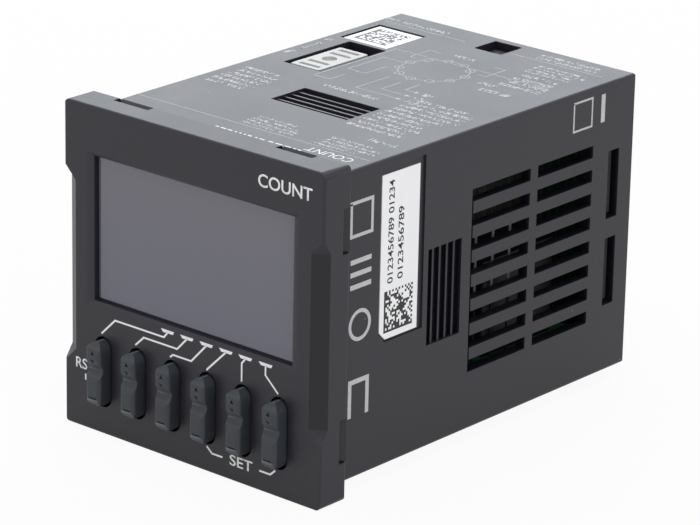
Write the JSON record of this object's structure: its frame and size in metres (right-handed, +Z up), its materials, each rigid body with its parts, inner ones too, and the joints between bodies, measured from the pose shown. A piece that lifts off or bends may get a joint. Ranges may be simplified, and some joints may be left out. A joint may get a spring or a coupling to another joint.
{
  "type": "panel counter",
  "caption": "Square plug-in panel counter with a recessed display, rocker keys, a slide selector, a vented case and a round pin plug at the rear.",
  "frame": {"origin": "middle of the bezel's rear face, on the panel plane", "axes": "+X to the right seen from the front, +Y into the panel towards the plug, +Z up"},
  "size_m": [0.048, 0.087, 0.048],
  "materials": {
    "bezel_plastic": "fine moulded grain",
    "case_plastic": "fine moulded grain",
    "key_plastic": "satin",
    "base_plastic": "satin",
    "clear_window": "polished",
    "display_glass": "polarising film",
    "knob_plastic": "satin",
    "label_film": "matt film",
    "circuit_board": "solder mask",
    "black_plastic": "satin",
    "light_guide_plastic": "polished",
    "led_resin": "gloss",
    "contact_rubber": "matt",
    "silicone_mat": "matt",
    "switch_metal": "plated",
    "ferrite": "sintered",
    "winding_tape": "polyester tape",
    "capacitor_sleeve": "shrunk film",
    "film_box": "moulded",
    "varistor_epoxy": "dipped",
    "pin_metal": "plated"
  },
  "bodies": {
    "housing": {"front_bezel": "bezel_plastic", "display_window": "clear_window", "lcd_panel": "display_glass", "lcd_holder": "black_plastic", "light_guide": "light_guide_plastic", "backlight_leds": "led_resin", "zebra_strips": "contact_rubber", "key_mat": "silicone_mat", "key_switches": "switch_metal", "display_board": "circuit_board", "controller_chip": "black_plastic", "board_headers": "black_plastic", "board_links": "switch_metal", "upper_board": "circuit_board", "optocouplers": "black_plastic", "selector_switch": "black_plastic", "lower_board": "circuit_board", "transformer_core": "ferrite", "transformer_bobbin": "black_plastic", "transformer_winding": "winding_tape", "filter_capacitors": "capacitor_sleeve", "film_capacitor": "film_box", "varistor": "varistor_epoxy", "output_relay": "black_plastic", "case": "case_plastic", "side_label": "label_film", "top_label": "label_film", "rear_board": "circuit_board", "plug_base": "base_plastic", "plug_pins": "pin_metal"},
    "key_1": {"rocker_key_1": "key_plastic"},
    "key_2": {"rocker_key_2": "key_plastic"},
    "key_3": {"rocker_key_3": "key_plastic"},
    "key_4": {"rocker_key_4": "key_plastic"},
    "key_5": {"rocker_key_5": "key_plastic"},
    "key_6": {"rocker_key_6": "key_plastic"},
    "selector": {"selector_knob": "knob_plastic"}
  },
  "joints": [
    {"name": "key_1_rock", "type": "hinge", "parent": "housing", "child": "key_1", "pos_m": [-0.0165, -0.0025, -0.0146], "axis": [1, 0, 0], "range_deg": [-3.5, 3.5], "stiffness_Nm_per_rad": 0.02},
    {"name": "key_2_rock", "type": "hinge", "parent": "housing", "child": "key_2", "pos_m": [-0.0099, -0.0025, -0.0146], "axis": [1, 0, 0], "range_deg": [-3.5, 3.5], "stiffness_Nm_per_rad": 0.02},
    {"name": "key_3_rock", "type": "hinge", "parent": "housing", "child": "key_3", "pos_m": [-0.0033, -0.0025, -0.0146], "axis": [1, 0, 0], "range_deg": [-3.5, 3.5], "stiffness_Nm_per_rad": 0.02},
    {"name": "key_4_rock", "type": "hinge", "parent": "housing", "child": "key_4", "pos_m": [0.0033, -0.0025, -0.0146], "axis": [1, 0, 0], "range_deg": [-3.5, 3.5], "stiffness_Nm_per_rad": 0.02},
    {"name": "key_5_rock", "type": "hinge", "parent": "housing", "child": "key_5", "pos_m": [0.0099, -0.0025, -0.0146], "axis": [1, 0, 0], "range_deg": [-3.5, 3.5], "stiffness_Nm_per_rad": 0.02},
    {"name": "key_6_rock", "type": "hinge", "parent": "housing", "child": "key_6", "pos_m": [0.0165, -0.0025, -0.0146], "axis": [1, 0, 0], "range_deg": [-3.5, 3.5], "stiffness_Nm_per_rad": 0.02},
    {"name": "selector_slide", "type": "slide", "parent": "housing", "child": "selector", "axis": [0, 1, 0], "range_m": [0, 0.0024]}
  ]
}
